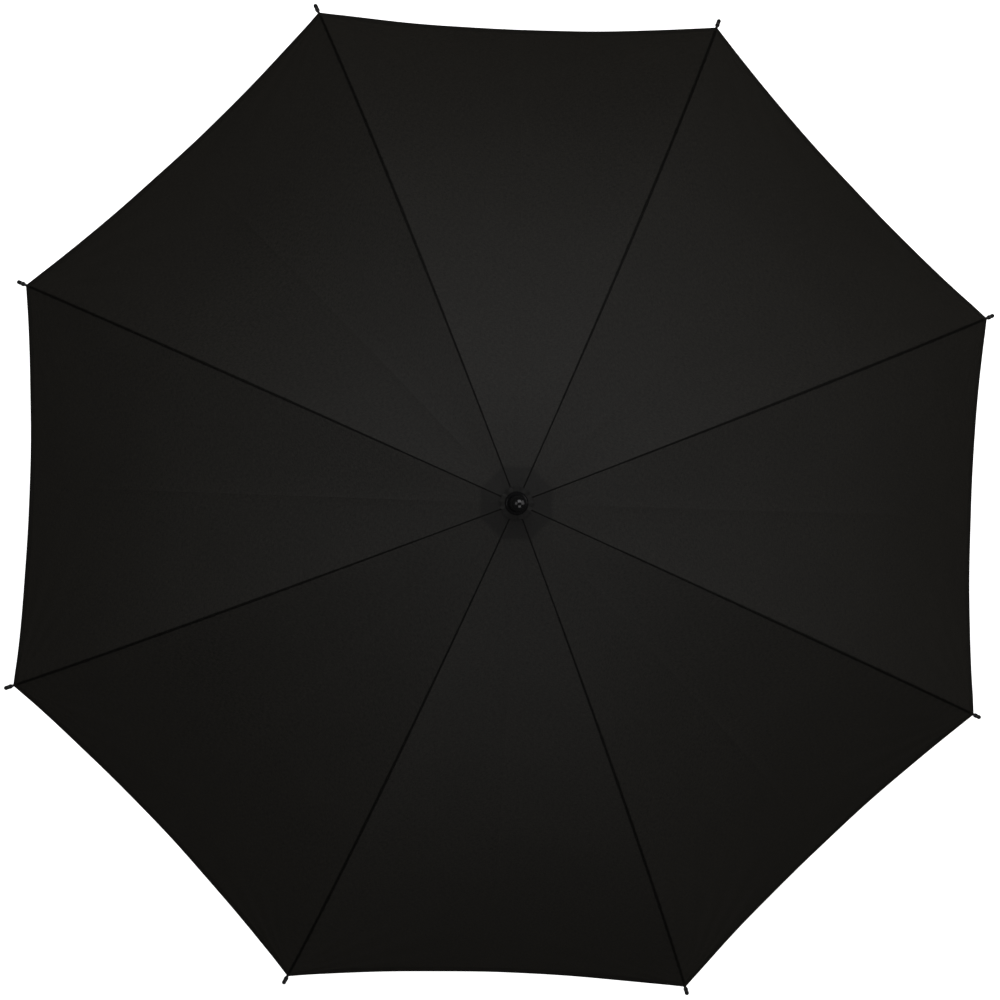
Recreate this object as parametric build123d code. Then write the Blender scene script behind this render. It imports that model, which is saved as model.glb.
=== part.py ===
from build123d import *
import os
from math import atan2, cos, degrees, hypot, radians, sin

# Golf umbrella with straight foam handle, standing open with its ferrule up. Millimetres.
# The origin is the middle of the handle grip, +Z runs up the shaft to the ferrule, and
# the ribs stand at 22.5 degrees from +X and every 45 degrees on from there.

# Driving dimensions
RIBS = 8
HALF_GORE = 180 / RIBS
CROWN_Z = 845.0  # height of the ring that the ribs hinge on
PIVOT_R = 14.0  # radius of the crown's and the runner's ring wires
RIB_R = 1.6  # radius of a rib or stretcher rod
ARC_R = 886.0  # radius that the open ribs bend to
ARC_START = 5.0  # slope of a rib at the crown, in degrees
JOINT_S = 355.0  # rib length from the crown to the joint clip
ROD_END_S = 745.0
CAP_START_S = 735.5
CAP_END_S = 751.5
CAP_NECK_R = 2.3
CAP_BULB_R = 2.6
STRETCHER_DROP = 6.0  # from the rib's centre line to the stretcher's pin
CLOSED_LEAN = 4.0  # angle of a folded rib's chord from the shaft, in degrees

SHAFT_R = 7.0
SHAFT_BORE_R = 6.0
SHAFT_BOTTOM_Z = -72.0
SHAFT_TOP = 35.0  # above the crown ring
GRIP_R = 16.0
GRIP_BOTTOM_Z = -75.0
GRIP_TOP_Z = 80.0
GRIP_ROUND = 5.0
END_CAP_R = 15.6
END_CAP_BOTTOM_Z = -86.0
END_CAP_ROUND = 4.5
PLUG_R = 5.9
PLUG_TOP_Z = -60.0

WIRE_R = 0.75
EYE_R = 2.2
EYE_WIDTH = 2.4
EYE_BORE_R = 0.85
PIN_R = 1.0
PIN_BORE_R = 1.06
KNUCKLE_R = 2.3
KNUCKLE_WIDTH = 3.6
ROD_INSET = 6.5  # from a pivot to where the round rod begins
ROD_STOP = 5.5  # from the outer rib's pin back to the end of the inner rod
TANG_LENGTH = 9.0
TANG_HALF = 1.3
CHEEK_R = 2.7  # of the joint clip's side plates, about each pin
CHEEK_INNER = 2.1
CHEEK_OUTER = 3.1
CLIP_TAIL = 15.0  # from the outer rib's pin back along the inner rod
CLIP_TAIL_HALF = 2.6
WEB_FRONT = 4.2

HUB_R = 9.8
FLANGE_R = 17.0
CROWN_SLOT = 3.0
CROWN_SLOT_R = 10.8
CROWN_TOP = 2.0
FLANGE_HALF = 3.0
HUB_BOTTOM = -8.0
NECK_R = 9.0
NECK_TOP = 5.5

RUNNER_BORE_R = 7.3
RUNNER_R = 11.0
RUNNER_SLOT = 4.0
RUNNER_SLOT_R = 11.3
RUNNER_LENGTH = 58.0  # below its ring
KEYWAY_R = 9.9
KEYWAY_WIDTH = 3.4
WINDOW_WIDTH = 5.0
WINDOW_TOP = -14.0
WINDOW_BOTTOM = -48.0

CLOTH_LIFT = 3.8  # from a rib's centre line to the middle of the cloth
CLOTH_HALF = 0.3
CLOTH_GAP = 0.3  # between a gore's edge and the plane of its rib
CLOTH_HOLE_R = 9.5
CLOTH_INNER_SLOPE = 3.5  # slopes between which the strip of cloth is drawn before it is cut
CLOTH_OUTER_SLOPE = 60.0
CORNER_R = 637.0  # radius of the canopy's corners
HEM_R = 580.5  # radius of the hem half way between two ribs
PATCH_R = 42.0  # reach of the doubled cloth at the crown
PATCH_HALF = 0.5

WASHER_R = 20.0
WASHER_BOTTOM = 4.9
FERRULE_BASE_R = 13.5
FERRULE_BASE_TOP = 9.0
FERRULE_FOOT_R = 9.4
FERRULE_END_R = 8.5
FERRULE_TOP = 75.0

CATCH_HALF = 0.8
CATCH_REACH = 9.4  # radius that a tooth stands out to
CATCH_LENGTH = 24.0
TOOTH_START = 9.5  # along the catch, from its pin
TOOTH_FULL = 22.5
CATCH_SLOT_HALF = 1.3
CATCH_PIN_HALF = 6.8
CATCH_CLEARANCE = 0.6  # between the open runner and its catch
BOTTOM_CATCH_DROP = 18.0  # from the folded runner's ring to the catch's pin


def rib_point(s):
    """Centre line of an open rib at arc length s, in its own plane: (radius, height over the crown)."""
    slope = radians(ARC_START) + s / ARC_R
    start = radians(ARC_START)
    return PIVOT_R + ARC_R * (sin(slope) - sin(start)), ARC_R * (cos(slope) - cos(start))


def rib_slope(s):
    """Downward slope of an open rib at arc length s, in degrees."""
    return ARC_START + degrees(s / ARC_R)


def side_plane(point, slope):
    """Plane seen from the side of a rib: its x runs outwards down the slope and its y inwards under the rib."""
    x, z = point
    along = (cos(radians(slope)), 0, -sin(radians(slope)))
    return Plane(origin=(x, 0, z + CROWN_Z), x_dir=along, z_dir=(0, 1, 0))


def slab(plane, sketch, half):
    """A flat sketch in a plane, made into a plate that reaches half to each side of it."""
    return extrude(plane * sketch, amount=half, both=True)


def bent_rod(s_from, s_to, radius):
    """Round rod along the open rib's arc between two arc lengths."""
    x, z = rib_point(s_from)
    slope = rib_slope(s_from)
    section = Plane(origin=(x, 0, z + CROWN_Z), z_dir=(cos(radians(slope)), 0, -sin(radians(slope))))
    centre_x = PIVOT_R - ARC_R * sin(radians(ARC_START))
    centre_z = CROWN_Z - ARC_R * cos(radians(ARC_START))
    turn = degrees((s_to - s_from) / ARC_R)
    return revolve(section * Circle(radius), Axis((centre_x, 0, centre_z), (0, 1, 0)), turn)


def tang(plane, direction, eye_r, bore_r, width):
    """Flat eye at a pivot with a tang along the plane's x, forwards or backwards."""
    bar = Pos(direction * TANG_LENGTH / 2, 0) * Rectangle(TANG_LENGTH, 2 * TANG_HALF)
    return slab(plane, Circle(eye_r) + bar, width / 2) - slab(plane, Circle(bore_r), width)


def z_cylinder(radius, bottom, top):
    """Upright round bar on the umbrella's axis between two heights."""
    return Pos(0, 0, (bottom + top) / 2) * Cylinder(radius, top - bottom)


def at_rib(k, shape):
    """The shape turned from the XZ plane to rib k."""
    return Rot(0, 0, HALF_GORE + k * 2 * HALF_GORE) * shape


def toothed_flange(bore_r, slot_width, slot_r, bottom, top):
    """Disc with a slot for each rib's eye, and a ring groove for the wire, about height 0."""
    disc = z_cylinder(FLANGE_R, bottom, top) - z_cylinder(bore_r, bottom - 1, top + 1)
    for k in range(RIBS):
        slot = Pos((slot_r + FLANGE_R + 2) / 2, 0, (bottom + top) / 2) * Box(
            FLANGE_R + 2 - slot_r, slot_width, top - bottom + 2
        )
        disc -= at_rib(k, slot)
    return disc - Torus(PIVOT_R, WIRE_R)


# Where the linkage's pins are when it stands open
JOINT = rib_point(JOINT_S)
JOINT_PLANE = side_plane(JOINT, rib_slope(JOINT_S))
JOINT_SLOPE = radians(rib_slope(JOINT_S))
PIN_X = JOINT[0] - STRETCHER_DROP * sin(JOINT_SLOPE)
PIN_Z = JOINT[1] - STRETCHER_DROP * cos(JOINT_SLOPE)
STRETCHER_LENGTH = hypot(PIN_X - PIVOT_R, PIN_Z)
RUNNER_Z = CROWN_Z + 2 * PIN_Z
STRETCHER_SLOPE = degrees(atan2(-PIN_Z, PIN_X - PIVOT_R))
RUNNER_CLOSED_Z = CROWN_Z - 2 * STRETCHER_LENGTH * cos(radians(CLOSED_LEAN))


# Rib assembly, in the XZ plane
def inner_rib():
    """Rod from the crown's ring to the joint clip, with a flat eye for the ring wire."""
    eye = tang(side_plane(rib_point(0), ARC_START), 1, EYE_R, EYE_BORE_R, EYE_WIDTH)
    return eye + bent_rod(ROD_INSET, JOINT_S - ROD_STOP, RIB_R)


def outer_rib():
    """Rod from the joint clip to the tip, with a knuckle for the clip's upper pin."""
    knuckle = tang(JOINT_PLANE, 1, KNUCKLE_R, PIN_BORE_R, KNUCKLE_WIDTH)
    return knuckle + bent_rod(JOINT_S + ROD_INSET, ROD_END_S, RIB_R)


def joint_clip(rod):
    """Bracket pressed on the inner rod, with two cheeks and the pins of outer rib and stretcher."""
    cheek = Circle(CHEEK_R) + Pos(0, STRETCHER_DROP) * Circle(CHEEK_R)
    cheek += Pos(0, STRETCHER_DROP / 2) * Rectangle(2 * CHEEK_R, STRETCHER_DROP)
    tail = [(-CLIP_TAIL, -CLIP_TAIL_HALF), (0, -CHEEK_R), (-1.5, STRETCHER_DROP + 2), (-CLIP_TAIL, CLIP_TAIL_HALF)]
    cheek += Polygon(*tail, align=None)
    web = Pos(-(CLIP_TAIL + WEB_FRONT) / 2, 0) * Rectangle(CLIP_TAIL - WEB_FRONT, 2 * CLIP_TAIL_HALF)
    gap = slab(JOINT_PLANE, Rectangle(4 * CLIP_TAIL, 4 * CLIP_TAIL), CHEEK_INNER)
    clip = slab(JOINT_PLANE, cheek, CHEEK_OUTER) - gap + slab(JOINT_PLANE, web, CHEEK_INNER)
    pins = Circle(PIN_R) + Pos(0, STRETCHER_DROP) * Circle(PIN_R)
    return clip + slab(JOINT_PLANE, pins, CHEEK_OUTER) - rod


def rib_tip(rod):
    """Small rounded cap pushed on the end of the outer rod."""
    bulb_s = CAP_END_S - CAP_BULB_R
    x, z = rib_point(bulb_s)
    return bent_rod(CAP_START_S, bulb_s, CAP_NECK_R) + Pos(x, 0, z + CROWN_Z) * Sphere(CAP_BULB_R) - rod


def stretcher():
    """Straight rod from the clip's lower pin to the runner's ring wire."""
    upper = side_plane((PIN_X, PIN_Z), -STRETCHER_SLOPE)
    lower = side_plane((PIVOT_R, 2 * PIN_Z), -STRETCHER_SLOPE)
    middle = Pos(STRETCHER_LENGTH / 2, 0) * Rectangle(STRETCHER_LENGTH - 2 * ROD_INSET, RIB_R)
    ends = tang(upper, -1, KNUCKLE_R, PIN_BORE_R, KNUCKLE_WIDTH)
    ends += tang(lower, 1, EYE_R, EYE_BORE_R, EYE_WIDTH)
    half_section = lower * Pos(0, RIB_R / 2) * middle
    return ends + revolve(half_section, Axis(lower.origin, lower.x_dir))


def gore():
    """Cloth panel between two ribs, about the XZ plane: an elliptical strip cut to a wedge with a hollow hem."""
    squeeze = cos(radians(HALF_GORE))
    centre = (squeeze * (PIVOT_R - ARC_R * sin(radians(ARC_START))), CROWN_Z - ARC_R * cos(radians(ARC_START)))

    def strip(lift, half, slope_to):
        edges = []
        for radius in (ARC_R + lift - half, ARC_R + lift + half):
            span = slope_to - CLOTH_INNER_SLOPE
            edges.append(EllipticalCenterArc(centre, squeeze * radius, radius, 90 - slope_to, arc_size=span))
        inner, outer = edges
        edges += [Line(inner @ 0, outer @ 0), Line(inner @ 1, outer @ 1)]
        return extrude(Plane.XZ * make_face(edges), amount=CORNER_R, both=True)

    corner_x = CORNER_R * squeeze
    corner_y = CORNER_R * sin(radians(HALF_GORE)) - CLOTH_GAP / squeeze
    apex_x = CLOTH_GAP / sin(radians(HALF_GORE))
    hem = ThreePointArc((corner_x, corner_y), (HEM_R, 0), (corner_x, -corner_y))
    sides = [Line((apex_x, 0), (corner_x, corner_y)), Line((apex_x, 0), (corner_x, -corner_y))]
    plan = extrude(make_face([hem, *sides]), amount=2 * CROWN_Z)
    patch_limit = Pos(PATCH_R / 2, 0, CROWN_Z) * Box(PATCH_R, 2 * PATCH_R, 60)
    patch = strip(CLOTH_LIFT, PATCH_HALF, CLOTH_OUTER_SLOPE / 3) & patch_limit
    return (strip(CLOTH_LIFT, CLOTH_HALF, CLOTH_OUTER_SLOPE) + patch) & plan - z_cylinder(CLOTH_HOLE_R, 0, 2 * CROWN_Z)


# Pieces on the shaft
def catch(upwards):
    """Sprung catch in the tube at height 0, with its tooth to +X. upwards is 1 or -1, for where its end points."""
    outline = [
        (-1.6, 0),
        (1.6, 0),
        (5.2, 7),
        (5.2, TOOTH_START),
        (CATCH_REACH, TOOTH_FULL),
        (CATCH_REACH, CATCH_LENGTH),
        (2.4, CATCH_LENGTH),
        (2.0, 7),
    ]
    blade = Polygon(*[(x, upwards * z) for x, z in outline], align=None)
    return slab(Plane.XZ, blade + Circle(KNUCKLE_R) - Circle(PIN_BORE_R), CATCH_HALF)


def catch_slot(upwards):
    """Slot in the tube that the catch's tooth comes out of."""
    bottom, top = TOOTH_START - 1.25, CATCH_LENGTH + 1.75
    wall = Box(4 * (SHAFT_R - SHAFT_BORE_R), 2 * CATCH_SLOT_HALF, top - bottom)
    return Pos((SHAFT_R + SHAFT_BORE_R) / 2, 0, upwards * (bottom + top) / 2) * wall


def cross_pin():
    """Pin across the tube along Y."""
    return Rot(90, 0, 0) * Cylinder(PIN_R, 2 * CATCH_PIN_HALF)


TOP_CATCH_Z = RUNNER_Z - RUNNER_LENGTH - CATCH_CLEARANCE - CATCH_LENGTH
BOTTOM_CATCH_Z = RUNNER_CLOSED_Z - BOTTOM_CATCH_DROP
CATCH_PINS = Pos(0, 0, TOP_CATCH_Z) * cross_pin() + Pos(0, 0, BOTTOM_CATCH_Z) * cross_pin()


def shaft():
    """Steel tube from the handle to inside the ferrule, slotted for the two catches."""
    tube = z_cylinder(SHAFT_R, SHAFT_BOTTOM_Z, CROWN_Z + SHAFT_TOP)
    tube -= z_cylinder(SHAFT_BORE_R, SHAFT_BOTTOM_Z - 1, CROWN_Z + SHAFT_TOP + 1)
    tube -= Pos(0, 0, TOP_CATCH_Z) * catch_slot(1)
    tube -= Pos(0, 0, BOTTOM_CATCH_Z) * catch_slot(-1)
    return tube - CATCH_PINS


def crown():
    """Hub fixed on the shaft, with a slotted flange for the rib eyes and a neck through the cloth."""
    body = toothed_flange(HUB_R - 1, CROWN_SLOT, CROWN_SLOT_R, -FLANGE_HALF, CROWN_TOP)
    body += z_cylinder(HUB_R, HUB_BOTTOM, CROWN_TOP) + z_cylinder(NECK_R, 0, NECK_TOP)
    return Pos(0, 0, CROWN_Z) * (body - z_cylinder(SHAFT_R, HUB_BOTTOM - 1, NECK_TOP + 1))


def runner():
    """Sleeve that slides on the shaft, with the stretchers' flange and a keyway and window for the catches."""
    body = toothed_flange(RUNNER_R - 1, RUNNER_SLOT, RUNNER_SLOT_R, -FLANGE_HALF, FLANGE_HALF)
    body += z_cylinder(RUNNER_R, -RUNNER_LENGTH, FLANGE_HALF)
    body -= z_cylinder(RUNNER_BORE_R, -RUNNER_LENGTH - 1, FLANGE_HALF + 1)
    body -= Pos(KEYWAY_R / 2, 0, -RUNNER_LENGTH / 2) * Box(KEYWAY_R, KEYWAY_WIDTH, 2 * RUNNER_LENGTH)
    window_z = (WINDOW_TOP + WINDOW_BOTTOM) / 2
    return body - Pos(RUNNER_R, 0, window_z) * Box(RUNNER_R, WINDOW_WIDTH, WINDOW_TOP - WINDOW_BOTTOM)


def runner_wire():
    """Ring wire held in the flange's teeth, open at each slot so that the eyes can leave it."""
    wire = Torus(PIVOT_R, WIRE_R)
    for k in range(RIBS):
        wire -= at_rib(k, Pos(PIVOT_R, 0, 0) * Box(8 * WIRE_R, RUNNER_SLOT, 8 * WIRE_R))
    return wire


def ferrule():
    """Round end piece over the shaft's top, with a base flange and a domed end."""
    dome_z = FERRULE_TOP - FERRULE_END_R
    body = z_cylinder(FERRULE_BASE_R, NECK_TOP, FERRULE_BASE_TOP)
    stem_middle = (NECK_TOP + dome_z) / 2
    body += Pos(0, 0, stem_middle) * Cone(FERRULE_FOOT_R, FERRULE_END_R, dome_z - NECK_TOP)
    body += Pos(0, 0, dome_z) * Sphere(FERRULE_END_R)
    return Pos(0, 0, CROWN_Z) * (body - z_cylinder(SHAFT_R, 0, SHAFT_TOP))


def washer():
    """Small cloth washer under the ferrule."""
    disc = z_cylinder(WASHER_R, WASHER_BOTTOM, NECK_TOP) - z_cylinder(NECK_R, 0, NECK_TOP + 1)
    return Pos(0, 0, CROWN_Z) * disc


def grip():
    """Straight foam grip on the shaft, rounded at its top."""
    body = z_cylinder(GRIP_R, GRIP_BOTTOM_Z, GRIP_TOP_Z)
    body = fillet(body.edges().sort_by(Axis.Z)[-1], GRIP_ROUND)
    return body - z_cylinder(SHAFT_R, GRIP_BOTTOM_Z - 1, GRIP_TOP_Z + 1)


def end_cap():
    """Rounded cap under the grip, with a plug in the tube."""
    body = z_cylinder(END_CAP_R, END_CAP_BOTTOM_Z, GRIP_BOTTOM_Z)
    body = fillet(body.edges().sort_by(Axis.Z)[0], END_CAP_ROUND)
    return body + z_cylinder(PLUG_R, GRIP_BOTTOM_Z - 1, PLUG_TOP_Z)


nodes = {
    "shaft": shaft(),
    "crown": crown(),
    "crown_wire": Pos(0, 0, CROWN_Z) * Torus(PIVOT_R, WIRE_R),
    "ferrule": ferrule(),
    "ferrule_washer": washer(),
    "handle_grip": grip(),
    "handle_end_cap": end_cap(),
    "runner": Pos(0, 0, RUNNER_Z) * runner(),
    "runner_wire": Pos(0, 0, RUNNER_Z) * runner_wire(),
    "catch_pins": CATCH_PINS,
    "top_catch": Pos(0, 0, TOP_CATCH_Z) * catch(1),
    "bottom_catch": Pos(0, 0, BOTTOM_CATCH_Z) * catch(-1),
}

rib_rod = inner_rib()
outer_rod = outer_rib()
rib_set = {
    "rib": rib_rod,
    "joint_clip": joint_clip(rib_rod),
    "rib_outer": outer_rod,
    "rib_tip": rib_tip(outer_rod),
    "stretcher": stretcher(),
    "gore": Rot(0, 0, HALF_GORE) * gore(),
}
for k in range(RIBS):
    for name, shape in rib_set.items():
        nodes[f"{name}_{k}"] = at_rib(k, shape)

os.makedirs("parts", exist_ok=True)
for name, shape in nodes.items():
    export_step(shape, f"parts/{name}.step")
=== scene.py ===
import bpy
import numpy as np
from mathutils import Matrix, Vector


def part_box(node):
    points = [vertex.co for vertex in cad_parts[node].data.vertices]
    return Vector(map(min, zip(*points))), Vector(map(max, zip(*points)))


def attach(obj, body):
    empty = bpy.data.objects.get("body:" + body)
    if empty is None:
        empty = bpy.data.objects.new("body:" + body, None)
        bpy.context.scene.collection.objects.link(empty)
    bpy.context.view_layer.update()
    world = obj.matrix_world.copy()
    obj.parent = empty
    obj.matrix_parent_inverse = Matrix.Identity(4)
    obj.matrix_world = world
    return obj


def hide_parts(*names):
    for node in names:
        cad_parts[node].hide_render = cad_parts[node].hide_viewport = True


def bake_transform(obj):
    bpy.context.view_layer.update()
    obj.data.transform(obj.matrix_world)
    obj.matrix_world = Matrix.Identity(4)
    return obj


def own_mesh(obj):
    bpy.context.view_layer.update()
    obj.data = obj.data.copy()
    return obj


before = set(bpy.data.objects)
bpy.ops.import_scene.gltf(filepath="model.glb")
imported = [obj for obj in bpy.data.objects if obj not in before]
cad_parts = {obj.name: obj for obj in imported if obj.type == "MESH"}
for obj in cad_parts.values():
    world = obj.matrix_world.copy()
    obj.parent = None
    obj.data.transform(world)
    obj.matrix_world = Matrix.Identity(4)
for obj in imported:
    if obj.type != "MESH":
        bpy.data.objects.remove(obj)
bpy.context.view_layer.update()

RIBS = 8

# ---------------------------------------------------------------------------------------------
# Shaft: a drawn steel tube with two spring catches let into slots, each on a riveted cross pin.
# The tube, pins, catches and ring wires are the frame's own nodes, finished in satin steel.

def new_material(name, **values):
    """A principled material. Each keyword is a socket's name with spaces as underscores."""
    material = bpy.data.materials.new(name)
    material.use_nodes = True
    shader = material.node_tree.nodes["Principled BSDF"]
    for socket, value in values.items():
        shader.inputs[socket.replace("_", " ")].default_value = value
    return material, material.node_tree, shader


def add_node(tree, kind, inputs=None, **settings):
    """A shader node with its settings; inputs maps a socket to a number or to another node's output."""
    node = tree.nodes.new(kind)
    for key, value in settings.items():
        setattr(node, key, value)
    for key, value in (inputs or {}).items():
        if isinstance(value, bpy.types.NodeSocket):
            tree.links.new(value, node.inputs[key])
        else:
            node.inputs[key].default_value = value
    return node


def noise(tree, vector, scale, detail=4.0, roughness=0.55, stretch=(1, 1, 1)):
    """Noise on a vector that is first stretched along each axis; returns the value output."""
    mapped = add_node(tree, "ShaderNodeMapping", {"Vector": vector, "Scale": stretch})
    inputs = {"Vector": mapped.outputs[0], "Scale": scale, "Detail": detail, "Roughness": roughness}
    return add_node(tree, "ShaderNodeTexNoise", inputs).outputs[0]


def ramp(tree, value, stops):
    """Colour ramp of (place, grey or colour) stops."""
    node = add_node(tree, "ShaderNodeValToRGB", {"Fac": value})
    while len(node.color_ramp.elements) < len(stops):
        node.color_ramp.elements.new(0.5)
    for element, (place, colour) in zip(node.color_ramp.elements, stops):
        element.position = place
        element.color = (*colour, 1) if hasattr(colour, "__len__") else (colour, colour, colour, 1)
    return node.outputs[0]


def object_coordinates(tree):
    return add_node(tree, "ShaderNodeTexCoord").outputs["Object"]


def bump(tree, shader, height, strength, distance):
    """Joins a height to the shader's normal, after any bump that is there already."""
    node = add_node(tree, "ShaderNodeBump", {"Height": height, "Strength": strength, "Distance": distance})
    earlier = shader.inputs["Normal"].links
    if earlier:
        tree.links.new(earlier[0].from_socket, node.inputs["Normal"])
    tree.links.new(node.outputs[0], shader.inputs["Normal"])


def finish_node(name, material):
    """Gives a frame node one material."""
    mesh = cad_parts[name].data
    mesh.materials.clear()
    mesh.materials.append(material)


def steel(name, grey, roughness):
    """Drawn steel: long fine draw lines along Z in roughness and bump, with faint tarnish."""
    material, tree, shader = new_material(name, Metallic=1.0, Roughness=roughness)
    place = object_coordinates(tree)
    lines = noise(tree, place, 900, 3, 0.6, (1, 1, 0.02))
    tarnish = noise(tree, place, 35, 4, 0.6)
    low, high = grey * 0.82, grey
    tint = [(0.3, (low, low, low * 1.01)), (0.7, (high, high, high * 1.01))]
    tree.links.new(ramp(tree, tarnish, tint), shader.inputs["Base Color"])
    rough = ramp(tree, lines, [(0.25, roughness * 0.8), (0.75, roughness * 1.3)])
    tree.links.new(rough, shader.inputs["Roughness"])
    bump(tree, shader, lines, 0.25, 0.00008)
    return material


shaft_steel = steel("satin_shaft_steel", 0.36, 0.3)
spring_steel = steel("bright_spring_steel", 0.55, 0.24)
for name in ("shaft", "catch_pins"):
    finish_node(name, shaft_steel)
for name in ("crown_wire", "runner_wire", "top_catch", "bottom_catch"):
    finish_node(name, spring_steel)

# ---------------------------------------------------------------------------------------------
# Crown, runner and joint clips: black nylon mouldings, satin with a fine eroded-mould grain and
# faint flow marks. The crown is pinned on the tube and the clips are pressed on the ribs.

def nylon(name, colour, roughness, grain):
    """Moulded nylon: fine speckled grain in the bump and slow clouds in the roughness."""
    material, tree, shader = new_material(name, Base_Color=(*colour, 1), Roughness=roughness)
    place = object_coordinates(tree)
    clouds = noise(tree, place, 60, 3)
    rough = ramp(tree, clouds, [(0.3, roughness * 0.85), (0.7, roughness * 1.15)])
    tree.links.new(rough, shader.inputs["Roughness"])
    bump(tree, shader, noise(tree, place, 2600, 2), grain, 0.0001)
    return material


black_nylon = nylon("black_nylon", (0.014, 0.014, 0.0145), 0.42, 0.35)
for name in ["crown", "runner", *(f"joint_clip_{k}" for k in range(RIBS))]:
    finish_node(name, black_nylon)

# ---------------------------------------------------------------------------------------------
# Ribs and stretchers: pultruded black fibreglass rods with a resin gloss and fine fibre streaks.
# The rods and the eyes at their ends are the frame's own nodes.

def fibreglass(name):
    """Resin gloss over faint streaks, which are a little longer in Z than across."""
    material, tree, shader = new_material(name, Roughness=0.33, Coat_Weight=0.25, Coat_Roughness=0.15)
    place = object_coordinates(tree)
    streaks = noise(tree, place, 700, 3, 0.6, (1, 1, 0.3))
    tint = [(0.35, (0.009, 0.009, 0.0095)), (0.75, (0.024, 0.024, 0.025))]
    tree.links.new(ramp(tree, streaks, tint), shader.inputs["Base Color"])
    bump(tree, shader, streaks, 0.2, 0.0001)
    return material


rod_gloss = fibreglass("black_fibreglass")
for k in range(RIBS):
    for part in ("rib", "rib_outer", "stretcher"):
        finish_node(f"{part}_{k}", rod_gloss)

# ---------------------------------------------------------------------------------------------
# Canopy: eight gores of black plain-weave polyester, stretched between the ribs, so that every
# line across a gore is nearly straight and its hem is pulled hollow. A gore folds down its middle
# as the umbrella closes, so each is laid out as two halves, and each half in two lengths that
# meet over the joint clips, where the ribs bend.

HALF_GORE = np.pi / RIBS
RING_WIRE_R = 0.00075
CROWN_Z = float(sum(c[2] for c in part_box("crown_wire")) / 2)
RING_R = float(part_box("crown_wire")[1][0]) - RING_WIRE_R
ARC_R = 0.886  # radius of a rib's curve
ARC_START = np.radians(5.0)  # a rib's slope where it leaves the crown's ring
JOINT_S = 0.355  # length along a rib from the ring to the joint clip
CLOTH_LIFT = 0.0038  # cloth's height over a rib's centre line
CLOTH_THICK = 0.0005
HOLE_R = 0.0094  # hole at the crown that the ferrule goes through
CORNER_R = 0.637  # distance of the canopy's corners from the shaft
HEM_MIDDLE = 0.5805  # distance of the hem's middle from the shaft
PATCH_R = 0.042  # the crown's doubled octagon, from the shaft to the middle of a side


def rib_line(s, lift=CLOTH_LIFT):
    """Radius and height of a point over a rib at length s: the arc of radius ARC_R, plus the lift, that
    leaves the crown's ring at the starting slope."""
    slope = ARC_START + s / ARC_R
    radius = RING_R + (ARC_R + lift) * np.sin(slope) - ARC_R * np.sin(ARC_START)
    height = CROWN_Z + (ARC_R + lift) * np.cos(slope) - ARC_R * np.cos(ARC_START)
    return radius, height


def rib_length_at(radius, lift=CLOTH_LIFT):
    """The length s at which the arc over a rib reaches a radius: rib_line solved for s."""
    sine = (radius - RING_R + ARC_R * np.sin(ARC_START)) / (ARC_R + lift)
    return (np.arcsin(sine) - ARC_START) * ARC_R


def hem_length(across):
    """Length s of the hem at a place across a half gore, 0 at the rib and 1 in the middle. Seen from
    above, the hem is a parabola that is hollow by the difference of chord and HEM_MIDDLE."""
    chord = CORNER_R * np.cos(HALF_GORE)
    half_width = CORNER_R * np.sin(HALF_GORE)
    reach = np.full_like(across, HEM_MIDDLE)
    for _ in range(4):
        side = (1 - across) * reach * np.tan(HALF_GORE)
        reach = HEM_MIDDLE + (chord - HEM_MIDDLE) * (side / half_width) ** 2
    return rib_length_at(reach / np.cos(HALF_GORE))


def smooth_step(value, low, high):
    """0 below low, 1 above high, and the cubic 3t2 - 2t3 between them."""
    t = np.clip((value - low) / (high - low), 0, 1)
    return t * t * (3 - 2 * t)


def half_gore_width(s):
    """Straight distance from a rib's line to the middle line of the gore beside it."""
    return rib_line(s)[0] * np.sin(HALF_GORE)


def gore_beside(k, side):
    """Number of the gore on one side of rib k: gore k starts at rib k."""
    return (k if side > 0 else k - 1) % RIBS


def rib_angle(k):
    return HALF_GORE + k * 2 * HALF_GORE


HOLLOW = 0.006  # depths and heights of the cloth's relief
FOLD_MARKS = (0.0007, 0.0011, 0.0008, 0.0010, 0.0016, 0.0008, 0.0012, 0.0009)
BILLOWS = (0.0005, 0.0002)
PUCKER, PUCKER_PITCH = 0.00012, 0.017
TENSION = 0.0005
GATHER = 0.0001


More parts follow.
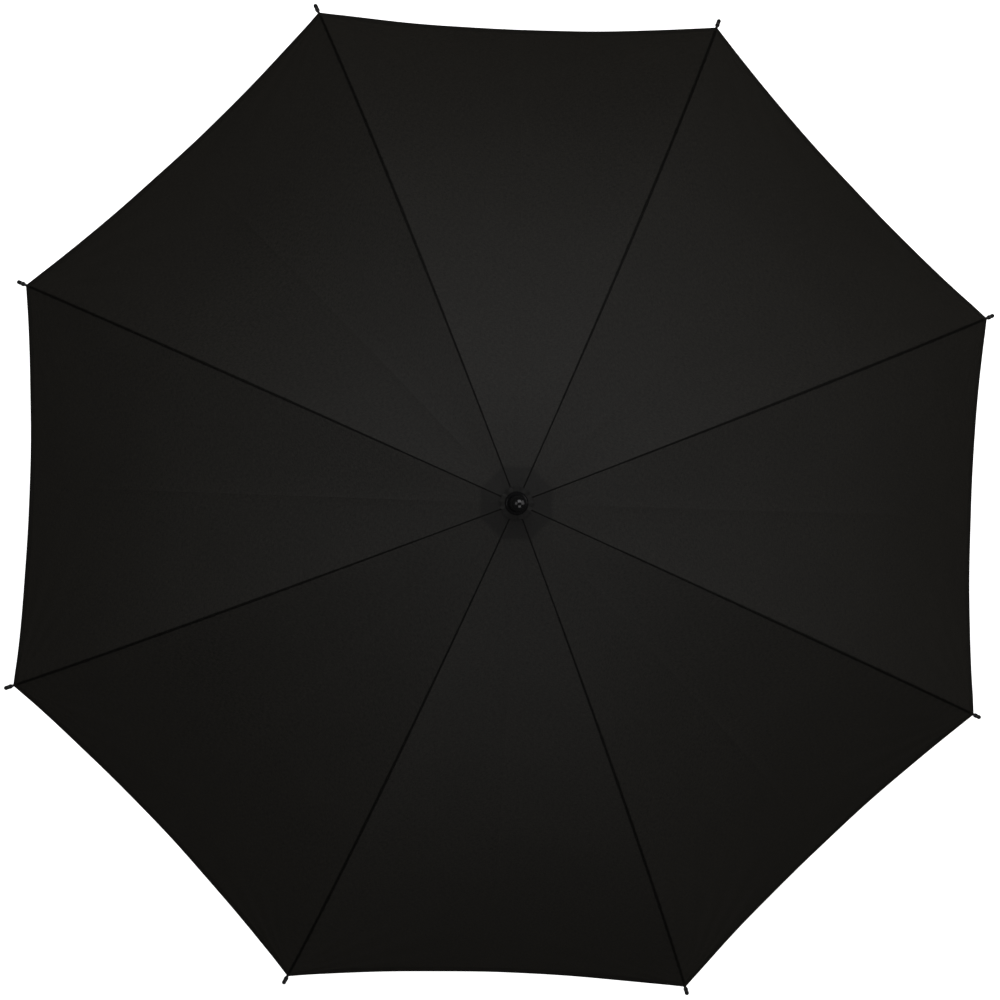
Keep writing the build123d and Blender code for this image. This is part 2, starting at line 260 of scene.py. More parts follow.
def cloth_relief(gore, side_sign, s, across):
    """Height of the cloth over the straight lines between ribs: a shallow hollow from the hem's pull, a
    fold mark down the gore's middle, slow and short billows, puckers along the seams, tension folds
    that run out of each corner, and small gathers round the crown. Everything but the puckers fades to
    nothing at the rib. The turn shifts every wave, so that no two gores are alike."""
    half_width = half_gore_width(s)
    from_rib = across * half_width
    from_middle = (1 - across) * half_width
    place = side_sign * from_middle
    away = smooth_step(from_rib, 0.0, 0.03)
    hollow = -HOLLOW * smooth_step(s, 0.03, 0.40) * (1 - (1 - across) ** 2)
    along_mark = smooth_step(s, 0.02, 0.12) * (1 - smooth_step(s, 0.48, 0.62))
    mark = FOLD_MARKS[gore] * np.exp(-from_middle / 0.010) * along_mark
    turn = 1.7 * gore
    billow = BILLOWS[0] * np.sin(s * 19 + place * 11 + turn) * np.cos(place * 17 - s * 7 + 2.1 * turn)
    billow += BILLOWS[1] * np.sin(s * 41 - place * 33 + 3.3 * turn) * np.cos(s * 13 + place * 23 + 0.7 * turn)
    pucker = PUCKER * np.sin(s * 2 * np.pi / PUCKER_PITCH + turn) * np.exp(-from_rib / 0.012)
    corner_s = rib_length_at(CORNER_R)
    reach = np.hypot(corner_s - s, from_rib) + 1e-6
    bearing = np.arctan2(from_rib, corner_s - s + 1e-6)
    tension = TENSION * np.sin(bearing * 21 + turn) * np.exp(-reach / 0.10) * smooth_step(reach, 0.004, 0.05)
    gather = GATHER * np.sin(across * 9 * np.pi + turn) * np.exp(-s / 0.05)
    return hollow + away * (mark + billow + tension + gather) + pucker


def half_gore_points(k, side, s, across):
    """Points of the cloth on one side of rib k. Across runs straight from the rib's line to the gore's
    middle line at one height, and the relief is added along the surface's normal."""
    radius, height = rib_line(s)
    middle_angle = rib_angle(k) + side * HALF_GORE
    rib_xy = np.stack([radius * np.cos(rib_angle(k)), radius * np.sin(rib_angle(k))], -1)
    reach = radius * np.cos(HALF_GORE)
    middle_xy = np.stack([reach * np.cos(middle_angle), reach * np.sin(middle_angle)], -1)
    plan = rib_xy + (middle_xy - rib_xy) * across[..., None]
    slope = ARC_START + s / ARC_R
    outwards = np.sin(slope) / np.cos(HALF_GORE)
    size = np.hypot(outwards, np.cos(slope))
    normal = np.stack([outwards * np.cos(middle_angle), outwards * np.sin(middle_angle), np.cos(slope)], -1)
    normal = normal / size[..., None]
    relief = cloth_relief(gore_beside(k, side), -side, s, across)
    return np.concatenate([plan, height[..., None]], -1) + normal * relief[..., None], normal


SHEET_SHARP = np.radians(40)


def sheet_mesh(name, top, normal, thickness, uv, layers):
    """Closed thin sheet: the grid of points, a copy that lies thickness below it, and a flat rim. uv is
    one pair for each grid point, and layers maps an attribute's name to one number for each."""
    rows, columns = top.shape[:2]
    count = rows * columns
    lower = top - normal * thickness
    points = np.concatenate([top.reshape(-1, 3), lower.reshape(-1, 3)])
    index = np.arange(count).reshape(rows, columns)
    a, b, c, d = index[:-1, :-1], index[1:, :-1], index[1:, 1:], index[:-1, 1:]
    over = np.stack([a, b, c, d], -1).reshape(-1, 4)
    edge = np.concatenate([index[:-1, 0], index[-1, :-1], index[:0:-1, -1], index[0, :0:-1]])
    following = np.roll(edge, -1)
    rim = np.stack([edge, following, following + count, edge + count], -1)
    u, v = top[1, 0] - top[0, 0], top[0, 1] - top[0, 0]
    if np.dot(np.cross(u, v), normal[0, 0]) < 0:
        over = over[:, ::-1]
    else:
        rim = rim[:, ::-1]
    faces = np.concatenate([over, over[:, ::-1] + count, rim])
    mesh = bpy.data.meshes.new(name)
    mesh.from_pydata(points.tolist(), [], faces.tolist())
    mesh.polygons.foreach_set("use_smooth", np.ones(len(faces), bool))
    mesh.set_sharp_from_angle(angle=SHEET_SHARP)
    both = np.concatenate([uv.reshape(-1, 2)] * 2)
    loops = np.empty(len(mesh.loops), np.int32)
    mesh.loops.foreach_get("vertex_index", loops)
    mesh.uv_layers.new(name="cloth").data.foreach_set("uv", both[loops].ravel())
    for layer, values in layers.items():
        attribute = mesh.attributes.new(layer, "FLOAT", "POINT")
        attribute.data.foreach_set("value", np.concatenate([values.ravel()] * 2).astype(np.float32))
    mesh.update()
    piece = bpy.data.objects.new(name, mesh)
    bpy.context.scene.collection.objects.link(piece)
    return piece


def multiply(tree, first, second):
    """Product of two colours, which are inputs 6 and 7 of a colour mix, and its output 2."""
    inputs = {"Factor": 1.0, 6: first, 7: second}
    return add_node(tree, "ShaderNodeMix", inputs, data_type="RGBA", blend_type="MULTIPLY").outputs[2]


def canopy_cloth(name, gloss):
    """Plain weave on the sheet's own metres: warp and weft ribs in the bump, slubs and fine grain in the
    colour, painted shade on two-layer and sewn places, and a dull black dye with painted shade that makes
    it darker and a little browner towards the hem."""
    material, tree, shader = new_material(name, Roughness=0.6, Specular_IOR_Level=gloss)
    place = add_node(tree, "ShaderNodeUVMap", uv_map="cloth").outputs[0]
    slub_warp = noise(tree, place, 900, 2, 0.6, (1, 0.25, 1))
    slub_weft = noise(tree, place, 900, 2, 0.6, (0.25, 1, 1))
    grain = noise(tree, place, 520, 4, 0.75)
    clouds = noise(tree, place, 9, 4, 0.6)
    threads = add_node(tree, "ShaderNodeMath", {0: slub_warp, 1: slub_weft}, operation="ADD").outputs[0]
    mixed = add_node(tree, "ShaderNodeMath", {0: threads, 1: grain}, operation="ADD").outputs[0]
    spread = add_node(tree, "ShaderNodeMath", {0: mixed, 1: 1 / 3}, operation="MULTIPLY").outputs[0]
    dye = ramp(tree, spread, [(0.41, (0.0032, 0.0030, 0.0025)), (0.59, (0.0148, 0.0140, 0.0122))])
    cloud = ramp(tree, clouds, [(0.3, 0.9), (0.7, 1.0)])
    reach = add_node(tree, "ShaderNodeSeparateXYZ", {"Vector": place}).outputs["Y"]
    # Painted shade: the dye is made darker and a little browner towards the hem.
    rim_falloff_stops = [(0.1, (1.0, 0.99, 0.98)), (0.45, (1.0, 0.96, 0.88)), (0.72, (0.76, 0.69, 0.56))]
    rim_falloff_shade = ramp(tree, reach, rim_falloff_stops)
    # Painted shade where the cloth lies in two layers: the crown's patch, the hem, the seams and the washer.
    doubling_and_painted_shade = add_node(tree, "ShaderNodeAttribute", attribute_name="doubling_and_painted_shade").outputs["Fac"]
    painted_shade_factor = ramp(tree, doubling_and_painted_shade, [(0.0, 1.0), (0.5, 0.55), (1.0, 0.22)])
    colour = multiply(tree, multiply(tree, multiply(tree, dye, cloud), rim_falloff_shade), painted_shade_factor)
    tree.links.new(colour, shader.inputs["Base Color"])
    tree.links.new(ramp(tree, grain, [(0.3, 0.54), (0.7, 0.68)]), shader.inputs["Roughness"])
    wave = {"Vector": place, "Scale": 450.0, "Distortion": 0.6, "Detail": 1.0}
    ribs_u = add_node(tree, "ShaderNodeTexWave", wave, bands_direction="X").outputs["Fac"]
    ribs_v = add_node(tree, "ShaderNodeTexWave", wave, bands_direction="Y").outputs["Fac"]
    weave = add_node(tree, "ShaderNodeMath", {0: ribs_u, 1: ribs_v}, operation="MULTIPLY").outputs[0]
    bump(tree, shader, weave, 0.2, 0.0001)
    bump(tree, shader, spread, 0.35, 0.0005)
    return material


cloth = canopy_cloth("black_canopy_cloth", 0.2)
seam_cloth = canopy_cloth("sewn_seam_cloth", 0.09)


def rib_vector(k, radial, tangential, up):
    """A point or direction given in rib k's own plane, turned to the row's axes."""
    angle = rib_angle(k)
    x = radial * np.cos(angle) - tangential * np.sin(angle)
    y = radial * np.sin(angle) + tangential * np.cos(angle)
    return float(x), float(y), float(up)


def fold_to_rib(piece, k, side, s_from, s_to, share, slope):
    """Works out a rib's chord from s_from to s_to and the line across the gore that is square to it, on the
    side given, and gives the piece its own copy of its mesh. It moves no cloth. k, share and slope are not
    used."""
    r0, z0 = rib_line(s_from)
    r1, z1 = rib_line(s_to)
    chord = np.array([r1 - r0, 0, z1 - z0]) / np.hypot(r1 - r0, z1 - z0)
    over = np.array([-np.sin(HALF_GORE), side * np.cos(HALF_GORE), 0])
    square = over - np.dot(over, chord) * chord
    square /= np.linalg.norm(square)
    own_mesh(piece)


# Painted shade: how dark the crown's two-layer octagon is made, and how soft its edge is.
PATCH_PAINTED_SHADE, PATCH_EDGE = 0.62, 0.001


def crown_patch_shade(s):
    """Painted shade on the cloth's two-layer octagon at the crown, which ends at PATCH_R on a gore's middle.
    """
    return PATCH_PAINTED_SHADE * (1 - smooth_step(rib_line(s)[0] * np.cos(HALF_GORE), PATCH_R - PATCH_EDGE, PATCH_R))


def flat_area(points):
    """Area of a grid of points, as the sum of its cells' two triangles."""
    a, b, c, d = points[:-1, :-1], points[1:, :-1], points[1:, 1:], points[:-1, 1:]
    first = np.linalg.norm(np.cross(b - a, c - a), axis=-1)
    second = np.linalg.norm(np.cross(c - a, d - a), axis=-1)
    return float((first + second).sum() / 2)


# The hem's two layers are darkened as painted shade.
HEM_TURN, HEM_EDGE, HEM_RISE, HEM_PAINTED_SHADE = 0.0075, 0.0015, 0.00045, 0.35
HEM_STITCH, HEM_GROOVE, HEM_GROOVE_WIDTH = 0.0062, 0.0003, 0.0008


def hem_relief(to_hem):
    """Rise and painted shade of the cloth at a distance from the hem: it lies in two layers up to HEM_TURN,
    where it is darkened as painted shade, and is sewn down along a groove at HEM_STITCH."""
    doubling_and_painted_shade = 1 - smooth_step(to_hem, HEM_TURN, HEM_TURN + HEM_EDGE)
    groove = HEM_GROOVE * np.exp(-((to_hem - HEM_STITCH) / HEM_GROOVE_WIDTH) ** 2)
    return HEM_RISE * doubling_and_painted_shade - groove, HEM_PAINTED_SHADE * doubling_and_painted_shade


def gore_sheet(name, body, k, side, s, rise, doubling_and_painted_shade):
    """One length of the half gore on one side of rib k, over a grid of lengths s: its columns run from
    the rib to the gore's middle. Returns the piece and the area that it is cut to."""
    wide = np.broadcast_to(across, s.shape)
    points, normal = half_gore_points(k, side, s, wide)
    points += normal * rise[..., None]
    uv = np.stack([side * wide * half_gore_width(s), s], -1)
    piece = sheet_mesh(name, points, normal, CLOTH_THICK, uv, {"doubling_and_painted_shade": doubling_and_painted_shade})
    piece.data.materials.append(cloth)
    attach(piece, body)
    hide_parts(f"gore_{gore_beside(k, side)}")
    return piece, flat_area(points)


INNER_FOLD = {"left": (0.25, 0.5), "right": (0.34, 0.22)}  # share of width and inward slope, folded
OUTER_FOLD = {"left": (0.14, 0.45), "right": (0.16, 0.15)}  # the left half lies under the right one
OUTER_FOLD_END = 0.745
FLAP, FLAP_DROP = 0.028, 0.0007  # the inner length's tongue under the outer one

# The grids' columns are finer beside a gore's middle, and their rows beside the hem.
across = np.concatenate([np.linspace(0, 0.9, 34, endpoint=False), np.linspace(0.9, 1, 9)])
crown_edge = rib_length_at(np.full_like(across, HOLE_R))
taut_s = crown_edge + (JOINT_S - crown_edge) * np.linspace(0, 1, 110)[:, None]
flap_s = JOINT_S + FLAP * across * np.linspace(0, 1, 6)[:, None]
inner_s = np.concatenate([taut_s, flap_s])
inner_rise = np.concatenate([np.zeros_like(taut_s), np.full_like(flap_s, -FLAP_DROP)])
hem = hem_length(across)
outer_rows = np.concatenate([np.linspace(0, 0.955, 100, endpoint=False), np.linspace(0.955, 1, 14)])
outer_s = JOINT_S + (hem - JOINT_S) * outer_rows[:, None]
outer_rise, outer_painted_shade = hem_relief(hem - outer_s)
for k in range(RIBS):
    for side, letter in ((1, "left"), (-1, "right")):
        name = f"gore_{letter}_inner_{k}"
        piece, cut = gore_sheet(name, f"rib_{k}", k, side, inner_s, inner_rise, crown_patch_shade(inner_s))
        fold_to_rib(piece, k, side, 0.0, JOINT_S, *INNER_FOLD[letter])

        name = f"gore_{letter}_outer_{k}"
        piece, cut = gore_sheet(name, f"rib_outer_{k}", k, side, outer_s, outer_rise, outer_painted_shade)
        fold_to_rib(piece, k, side, JOINT_S, OUTER_FOLD_END, *OUTER_FOLD[letter])

# ---------------------------------------------------------------------------------------------
# Rib seams: the two gores' edges are felled together over each rib and sewn down with lock stitch.
# The seam is a narrow cord near the crown, darkened with painted shadow, and spreads to a flat double
# roll further out. Its strip is wider beside the crown, where it closes the gap between the folded gores.

def seam_points(k, s, place):
    """The cloth's own points to both sides of rib k, at a distance place from it, with the normal turned
    gradually to the rib's own where the two gores meet."""
    across = np.abs(place) / half_gore_width(s)
    left, left_normal = half_gore_points(k, 1, s, across)
    right, right_normal = half_gore_points(k, -1, s, across)
    is_left = (place > 0)[..., None]
    over_rib = left_normal + right_normal
    over_rib = over_rib / np.linalg.norm(over_rib, axis=-1, keepdims=True)
    share = smooth_step(np.abs(place), 0.0, 0.003)[..., None]
    normal = over_rib + (np.where(is_left, left_normal, right_normal) - over_rib) * share
    return np.where(is_left, left, right), normal / np.linalg.norm(normal, axis=-1, keepdims=True)


CLOSED_TURN = np.radians(68.56)  # turn of a rib from open to closed
GAP_SHARE = 0.4218


def closed_gap(s):
    """Distance along the cloth from a closed rib to the middle between it and the next. The cloth runs
    square to the gore's middle line when it is open, so once the rib has turned, it gets there after
    r sin(h) / (cos(h)^2 + sin(h)^2 cos(turn)) = GAP_SHARE r, where r is the rib's radius and h is half
    a gore."""
    radius, height = rib_line(s)
    closed = RING_R + (radius - RING_R) * np.cos(CLOSED_TURN) + (height - CROWN_Z) * np.sin(CLOSED_TURN)
    return GAP_SHARE * closed


SEAM_START_R, SEAM_HALF = 0.0125, 0.0052
SEAM_LIFT, SEAM_THICK = 0.00012, 0.0005
EDGE_SPACE = 0.0003  # to the middle between closed ribs
WIDE_UNTIL, NARROW_FROM = 0.13, 0.19
CORD_HALF, CORD_SPREAD = 0.0010, 0.0009  # half width of the cord with its painted shadow, and what it gains outwards
ROLL_RISE, VALLEY_DEPTH = 0.0003, 0.0001
STITCH_PITCH, STITCH_RISE = 0.0036, 0.00004

seam_end = float(rib_length_at(CORNER_R))
s = np.linspace(float(rib_length_at(SEAM_START_R)), seam_end - 0.001, 380)[:, None]
allowance = np.minimum(SEAM_HALF, np.minimum(0.35 * rib_line(s)[0], 0.0012 + 0.9 * (seam_end - s)))
needed = (closed_gap(s) - EDGE_SPACE) * (1 - smooth_step(s, WIDE_UNTIL, NARROW_FROM))
edge = np.clip(needed, allowance, 0.37 * rib_line(s)[0])
middle = 0.88 * allowance
wing = middle + (edge - middle) * np.linspace(0, 1, 7)[None, 1:]
place = np.concatenate([-wing[:, ::-1], np.linspace(-1, 1, 31)[None, :] * middle, wing], 1)
along = np.broadcast_to(s, place.shape)
for k in range(RIBS):
    wander = 1 + 0.05 * np.sin(s * 310 + k) + 0.04 * np.sin(s * 97 + 2 * k)
    cord = (CORD_HALF + CORD_SPREAD * smooth_step(s, 0.05, 0.40)) * wander
    inside = np.abs(place) / cord
    rolls = ROLL_RISE * np.exp(-((inside - 0.45) / 0.3) ** 2)
    rolls = rolls - VALLEY_DEPTH * np.exp(-((inside / 0.12) ** 2))
    stitches = STITCH_RISE * np.sin(s * 2 * np.pi / STITCH_PITCH) * np.exp(-(inside**2))
    points, normal = seam_points(k, along, place)
    points += normal * (SEAM_LIFT + rolls + stitches)[..., None]
    uv = np.stack([place, along], -1)
    # Painted shadow: the cord is darkened down the seam's middle, joined with the crown's painted shade.
    seam_painted_shadow = np.maximum(0.95 * (1 - smooth_step(inside, 0.5, 1.5)), crown_patch_shade(s))
    tape = sheet_mesh(f"rib_seam_{k}", points, normal, SEAM_THICK, uv, {"doubling_and_painted_shade": seam_painted_shadow})
    for material in (cloth, seam_cloth):
        tape.data.materials.append(material)
    sewn = (inside[:-1, :-1] < 1.1) & (inside[:-1, 1:] < 1.1)
    index = np.zeros(len(tape.data.polygons), np.int32)
    index[: 2 * sewn.size] = np.tile(sewn.ravel(), 2)
    tape.data.polygons.foreach_set("material_index", index)
    cut = flat_area(points)
    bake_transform(tape)

# ---------------------------------------------------------------------------------------------
# Tip caps: small glossy nylon caps pushed over the rods' ends. Each gore's corner is gathered and
# bound with thread round the neck of its cap.

SHAFT_AXIS = ((0, 0, 0), (0, 0, 1), (1, 0, 0))
TURNED_SHARP = np.radians(32)


def revolved(name, profile, around, axis=SHAFT_AXIS):
    """Surface turned about an axis: the profile is (distance along, radius) pairs, whose first and last
    rings are closed by flat ends; axis is (origin, direction, side) in the row's axes."""
    origin, direction, side = (np.array(v, float) for v in axis)
    other = np.cross(direction, side)
    along, radius = np.array(profile, float).T
    turn = np.linspace(0, 2 * np.pi, around, endpoint=False)
    ring = np.cos(turn)[:, None] * side + np.sin(turn)[:, None] * other
    points = origin + along[:, None, None] * direction + radius[:, None, None] * ring[None]
    return closed_rings(name, points)


def closed_rings(name, points):
    """Mesh of rings of equal count joined in order, with a fan to the middle of the first and last."""
    rings, around = points.shape[:2]
    index = np.arange(rings * around).reshape(rings, around)
    beside = np.roll(index, -1, axis=1)
    walls = np.stack([index[:-1], beside[:-1], beside[1:], index[1:]], -1).reshape(-1, 4)
    first, last = rings * around, rings * around + 1
    middle = np.stack([points[0].mean(0), points[-1].mean(0)])
    start = np.stack([beside[0], index[0], np.full(around, first)], -1)
    end = np.stack([index[-1], beside[-1], np.full(around, last)], -1)
    mesh = bpy.data.meshes.new(name)
    everything = np.concatenate([points.reshape(-1, 3), middle])
    mesh.from_pydata(everything.tolist(), [], [*walls.tolist(), *start.tolist(), *end.tolist()])
    mesh.polygons.foreach_set("use_smooth", np.ones(len(mesh.polygons), bool))
    mesh.set_sharp_from_angle(angle=TURNED_SHARP)
    mesh.update()
    piece = bpy.data.objects.new(name, mesh)
    bpy.context.scene.collection.objects.link(piece)
    return piece


tip_gloss = nylon("glossy_tip_nylon", (0.010, 0.010, 0.0105), 0.24, 0.12)
thread_black = nylon("binding_thread", (0.016, 0.0155, 0.015), 0.6, 0.5)


def rib_axis(k, s):
    """Origin, direction and side of a rib's centre line at length s, in the row's axes."""
    radius, height = rib_line(s, 0.0)
    slope = ARC_START + s / ARC_R
    return (
        rib_vector(k, float(radius), 0, float(height)),
        rib_vector(k, float(np.cos(slope)), 0, float(-np.sin(slope))),
        rib_vector(k, 0, 1, 0),
    )


CAP_END_S = 0.7515  # length along a rib to the tip of its cap
BINDING_S, BINDING_LENGTH, BINDING_R, BINDING_TURNS = 0.7375, 0.0026, 0.00255, 7
THREAD_R = 0.0002
cap_bulge = np.linspace(0, np.pi / 2, 12)
cap_profile = [
    (-0.0160, 0.00172),
    (-0.0160, 0.00220),
    (-0.0157, 0.00242),
    (-0.0121, 0.00242),
    (-0.0090, 0.00244),
    (-0.0050, 0.00256),
    *[(-0.0026 + 0.0026 * np.sin(t), 0.0026 * np.cos(t)) for t in cap_bulge],
]
for k in range(RIBS):
    cap = revolved(f"tip_cap_{k}", cap_profile, 40, rib_axis(k, CAP_END_S))
    cap.data.materials.append(tip_gloss)
    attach(cap, f"rib_outer_{k}")
    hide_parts(f"rib_tip_{k}")

    turns = np.linspace(0, BINDING_TURNS * 2 * np.pi, BINDING_TURNS * 20)
    origin, direction, sideways = (np.array(v) for v in rib_axis(k, BINDING_S))
    upward = np.cross(direction, sideways)
    outward = np.cos(turns)[:, None] * sideways + np.sin(turns)[:, None] * upward
    spool = BINDING_R + 0.00005 * np.sin(turns * 0.37)
    path = origin + direction * (turns / turns[-1] * BINDING_LENGTH)[:, None]
    path = path + spool[:, None] * outward
    ring = np.linspace(0, 2 * np.pi, 6, endpoint=False)
    offsets = np.cos(ring)[None, :, None] * outward[:, None] + np.sin(ring)[None, :, None] * direction
    binding = closed_rings(f"corner_binding_{k}", path[:, None] + THREAD_R * offsets)
    binding.data.materials.append(thread_black)
    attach(binding, f"rib_outer_{k}")

# ---------------------------------------------------------------------------------------------
# Ferrule: one glossy black moulding over the tube's end, with a thick base flange that clamps the
# canopy, a slightly tapered stem, and a domed end with the moulding's small gate mark in its middle.

ferrule_gloss, tree, shader = new_material(
    "glossy_ferrule", Base_Color=(0.002, 0.002, 0.0022, 1), Roughness=0.16, Specular_IOR_Level=0.5
)
place = object_coordinates(tree)
scuffs = noise(tree, place, 240, 6, 0.75, (1, 1, 0.25))
tree.links.new(ramp(tree, scuffs, [(0.45, 0.18), (0.8, 0.27)]), shader.inputs["Roughness"])

low, high = (np.array(c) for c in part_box("ferrule"))
base_z, top_z = float(low[2]), float(high[2])
END_R, GATE_R = 0.0085, 0.0012
dome = np.linspace(0, np.pi / 2, 16)
ferrule_profile = [
    (base_z, 0.0076),
    (base_z, 0.0131),
    (base_z + 0.0004, 0.0135),
    (base_z + 0.0006, 0.0135),
    (base_z + 0.0012, 0.0134),
    (base_z + 0.0022, 0.0126),
    (base_z + 0.0030, 0.0114),
    (base_z + 0.0040, 0.0102),
    (base_z + 0.0055, 0.0095),
    (base_z + 0.0080, 0.00925),
    (base_z + 0.0300, 0.00895),
    (top_z - 0.0300, 0.00868),
    *[(top_z - END_R + END_R * np.sin(t), END_R * np.cos(t)) for t in dome if np.cos(t) * END_R > GATE_R],
    (top_z - 0.00015, 0.00095),
    (top_z - 0.00060, 0.00075),
    (top_z - 0.00065, 0.00010),
]
ferrule = revolved("ferrule_moulding", ferrule_profile, 96)
ferrule.data.materials.append(ferrule_gloss)
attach(ferrule, "frame")
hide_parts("ferrule")

# ---------------------------------------------------------------------------------------------
# Ferrule washer: a disc of canopy cloth, cut with pinking shears and clamped under the ferrule,
# whose free edge ruffles.

WASHER_R, WASHER_HOLE_R = 0.0198, 0.0092
WASHER_THICK, WASHER_RISE = 0.0004, 0.0006
TEETH, TOOTH_DEPTH = 30, 0.0014
turn = np.linspace(0, 2 * np.pi, 289)
reach = np.linspace(0, 1, 26)[:, None]
zigzag = np.abs((turn * TEETH / (2 * np.pi)) % 1 - 0.5) * 2
rim = WASHER_R - TOOTH_DEPTH * zigzag + 0.0003 * np.sin(5 * turn)
radius = WASHER_HOLE_R + (rim - WASHER_HOLE_R) * reach
ruffle = reach**2 * (0.0004 * np.sin(9 * turn + 0.6) + 0.0003 * np.sin(14 * turn + 2.0) - 0.0003)
washer_z = float(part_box("ferrule_washer")[0][2]) + WASHER_RISE + ruffle + 0 * radius
points = np.stack([radius * np.cos(turn), radius * np.sin(turn), washer_z], -1)
up = np.zeros_like(points)
up[..., 2] = 1
uv = points[..., :2].copy()
# Painted shade: the washer is darkened all over, and most at its pinked edge.
washer_painted_shade = 0.75 + 0.25 * smooth_step(reach, 0.85, 1.0) + 0 * radius
washer = sheet_mesh("pinked_washer", points, up, WASHER_THICK, uv, {"doubling_and_painted_shade": washer_painted_shade})
washer.data.materials.append(cloth)
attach(washer, "frame")
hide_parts("ferrule_washer")

# ---------------------------------------------------------------------------------------------
# Handle: a straight sleeve of closed-cell foam, pushed on the tube over glue, with a moulded
# nylon cap plugged in under it.

foam, tree, shader = new_material("closed_cell_foam", Roughness=0.86, Specular_IOR_Level=0.35)
place = object_coordinates(tree)
cells = add_node(tree, "ShaderNodeTexVoronoi", {"Vector": place, "Scale": 1500.0}).outputs["Distance"]
mottle = noise(tree, place, 90, 5, 0.65)
foam_tint = ramp(tree, mottle, [(0.3, (0.014, 0.014, 0.0142)), (0.72, (0.026, 0.026, 0.0262))])
tree.links.new(foam_tint, shader.inputs["Base Color"])
bump(tree, shader, cells, 0.5, 0.0003)
bump(tree, shader, mottle, 0.3, 0.0006)

low, high = (np.array(c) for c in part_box("handle_grip"))
bottom_z, top_z = float(low[2]), float(high[2])
GRIP_R, GRIP_ROUND = 0.016, 0.005
GROOVE_HALF, GROOVE_DEPTH = 0.0011, 0.0006
corner = np.linspace(0, np.pi / 2, 10)


def ring_groove(z):
    """Profile of a groove round the grip at height z, a parabola."""
    return [(z + GROOVE_HALF * t, GRIP_R - GROOVE_DEPTH * (1 - t**2)) for t in np.linspace(-1, 1, 9)]


grip_profile = [
    (bottom_z, 0.0075),
    (bottom_z, 0.0152),
    (bottom_z + 0.0003, 0.0157),
    (bottom_z + 0.0010, GRIP_R),
    *ring_groove(bottom_z + 0.012),
    *ring_groove(bottom_z + 0.016),
    (bottom_z + 0.05, GRIP_R),
    (top_z - 0.05, GRIP_R),
    *ring_groove(top_z - 0.017),
    *ring_groove(top_z - 0.013),
    *[(top_z - GRIP_ROUND * (1 - np.sin(t)), GRIP_R - GRIP_ROUND * (1 - np.cos(t))) for t in corner],
    (top_z - 0.0002, 0.0080),
    (top_z - 0.0010, 0.0073),
]
grip = revolved("foam_grip", grip_profile, 96)
grip.data.materials.append(foam)
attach(grip, "frame")
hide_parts("handle_grip")

low, high = (np.array(c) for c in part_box("handle_end_cap"))
cap_z, plug_z = float(low[2]), float(high[2])
CAP_R, CAP_ROUND = 0.0156, 0.0045
end_profile = [
    (cap_z + 0.0009, 0.0001),
    (cap_z + 0.0009, 0.0062),
    (cap_z + 0.0001, 0.0070),
    (cap_z, 0.0078),
    *[(cap_z + CAP_ROUND * (1 - np.cos(t)), CAP_R - CAP_ROUND * (1 - np.sin(t))) for t in corner],
    (bottom_z - 0.0012, CAP_R),
    (bottom_z - 0.0009, CAP_R - 0.0006),
    (bottom_z - 0.0001, CAP_R - 0.0006),
    (bottom_z - 0.0001, 0.0060),
    (plug_z, 0.0058),
]
end_cap = revolved("handle_end_moulding", end_profile, 80)
end_cap.data.materials.append(nylon("end_cap_nylon", (0.013, 0.013, 0.0135), 0.36, 0.3))
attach(end_cap, "frame")
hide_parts("handle_end_cap")

# ---------------------------------------------------------------------------------------------
# Stage: the open umbrella stands on its handle over a white floor, seen from above with a slight
# lean, in soft studio light that is strongest from behind and from the right.

FLOOR_HALF, FLOOR_DROP = 60.0, 0.0005
WHITE = (1, 1, 1, 1)
paper = new_material(
    "pale_floor",
    Roughness=0.9,
    Specular_IOR_Level=0.2,
    Base_Color=(0.92, 0.92, 0.92, 1),
    Emission_Color=WHITE,
    Emission_Strength=1.0,
)[0]
floor_z = cap_z - FLOOR_DROP
mesh = bpy.data.meshes.new("floor")
corners = [(x * FLOOR_HALF, y * FLOOR_HALF, floor_z) for x, y in ((-1, -1), (1, -1), (1, 1), (-1, 1))]
mesh.from_pydata(corners, [], [(0, 1, 2, 3)])
mesh.materials.append(paper)
floor = bpy.data.objects.new("floor", mesh)
bpy.context.scene.collection.objects.link(floor)
floor.visible_glossy = False

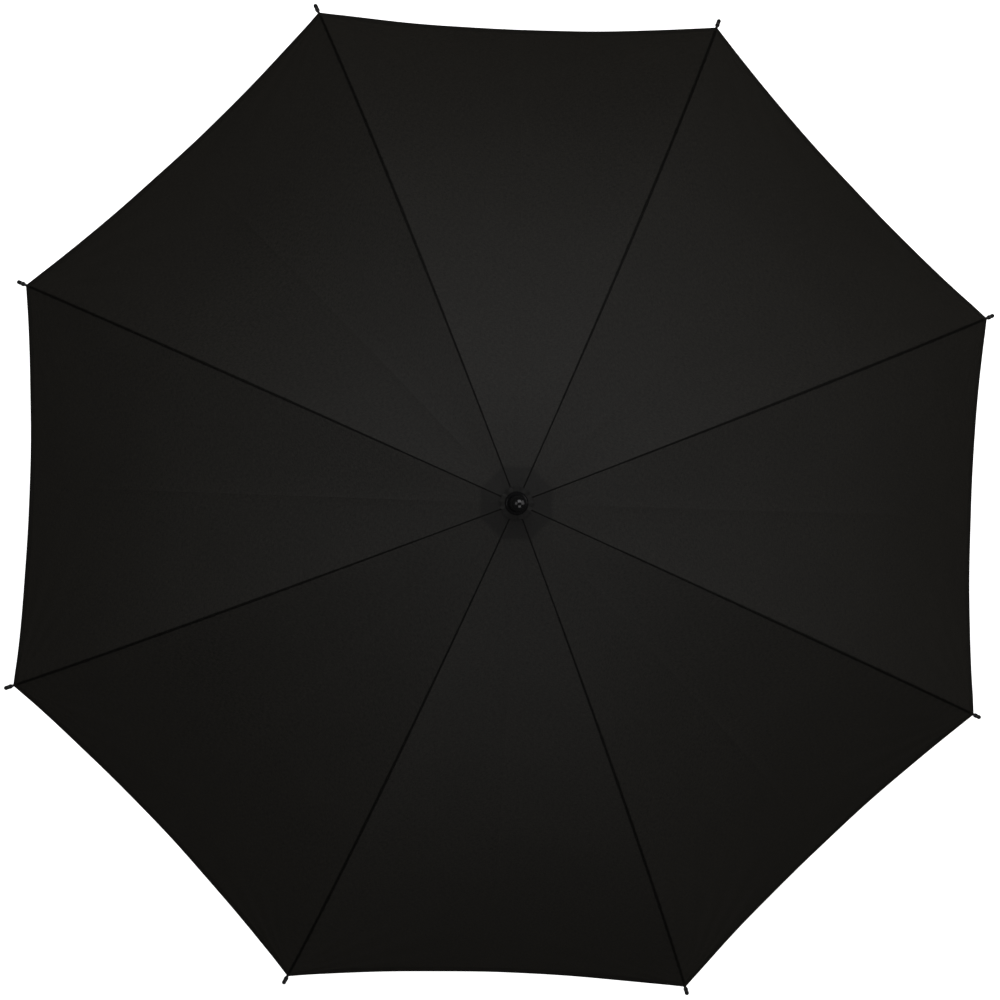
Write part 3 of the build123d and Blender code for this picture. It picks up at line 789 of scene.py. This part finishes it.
ROOM_LIGHT = 0.05  # light from all round; the camera sees a white backdrop instead
world = bpy.data.worlds.new("studio")
bpy.context.scene.world = world
world.use_nodes = True
tree = world.node_tree
room = tree.nodes["Background"]
room.inputs["Strength"].default_value = ROOM_LIGHT
backdrop = add_node(tree, "ShaderNodeBackground", {"Strength": 1.0})
seen = add_node(tree, "ShaderNodeLightPath").outputs["Is Camera Ray"]
either = add_node(tree, "ShaderNodeMixShader", {0: seen, 1: room.outputs[0], 2: backdrop.outputs[0]})
tree.links.new(either.outputs[0], tree.nodes["World Output"].inputs["Surface"])
for light in (room, backdrop):
    light.inputs["Color"].default_value = WHITE


def soft_light(name, place, target, size, power):
    """Square area light at a place, aimed at a target."""
    data = bpy.data.lights.new(name, "AREA")
    data.size = size
    data.energy = power
    lamp = bpy.data.objects.new(name, data)
    lamp.location = place
    lamp.rotation_euler = (Vector(target) - Vector(place)).to_track_quat("-Z", "Y").to_euler()
    bpy.context.scene.collection.objects.link(lamp)


LIT_POINT = (0, 0, 0.8)
for name, place, size, power in (
    ("back_softbox", (-0.2, 2.1, 3.6), 2.8, 60),
    ("right_softbox", (2.3, 0.9, 2.9), 3.2, 34),
    ("left_softbox", (-2.4, 0.2, 2.8), 2.0, 12),
    ("front_softbox", (0.2, -2.2, 3.4), 2.2, 23),
):
    soft_light(name, place, LIT_POINT, size, power)

LEAN_X, LEAN_Y, TURN = np.radians((2.68, -0.32, 1.85))
DISTANCE = 5.0
HALF_VIEW = 0.6143
target = Vector((-0.0023, 0.0011, 0.492))
camera_data = bpy.data.cameras.new("camera")
camera_data.angle = 2 * np.arctan(HALF_VIEW / DISTANCE)
camera_data.clip_end = 60
camera = bpy.data.objects.new("camera", camera_data)
back = Vector((-np.sin(LEAN_X), -np.sin(LEAN_Y), 1)).normalized()
right = Vector((np.cos(TURN), np.sin(TURN), 0))
right = (right - back * right.dot(back)).normalized()
upward = back.cross(right)
turned = Matrix((right, upward, back)).transposed().to_4x4()
camera.matrix_world = Matrix.Translation(target + back * DISTANCE) @ turned
bpy.context.scene.collection.objects.link(camera)
bpy.context.scene.camera = camera
bpy.context.scene.view_settings.view_transform = "Standard"
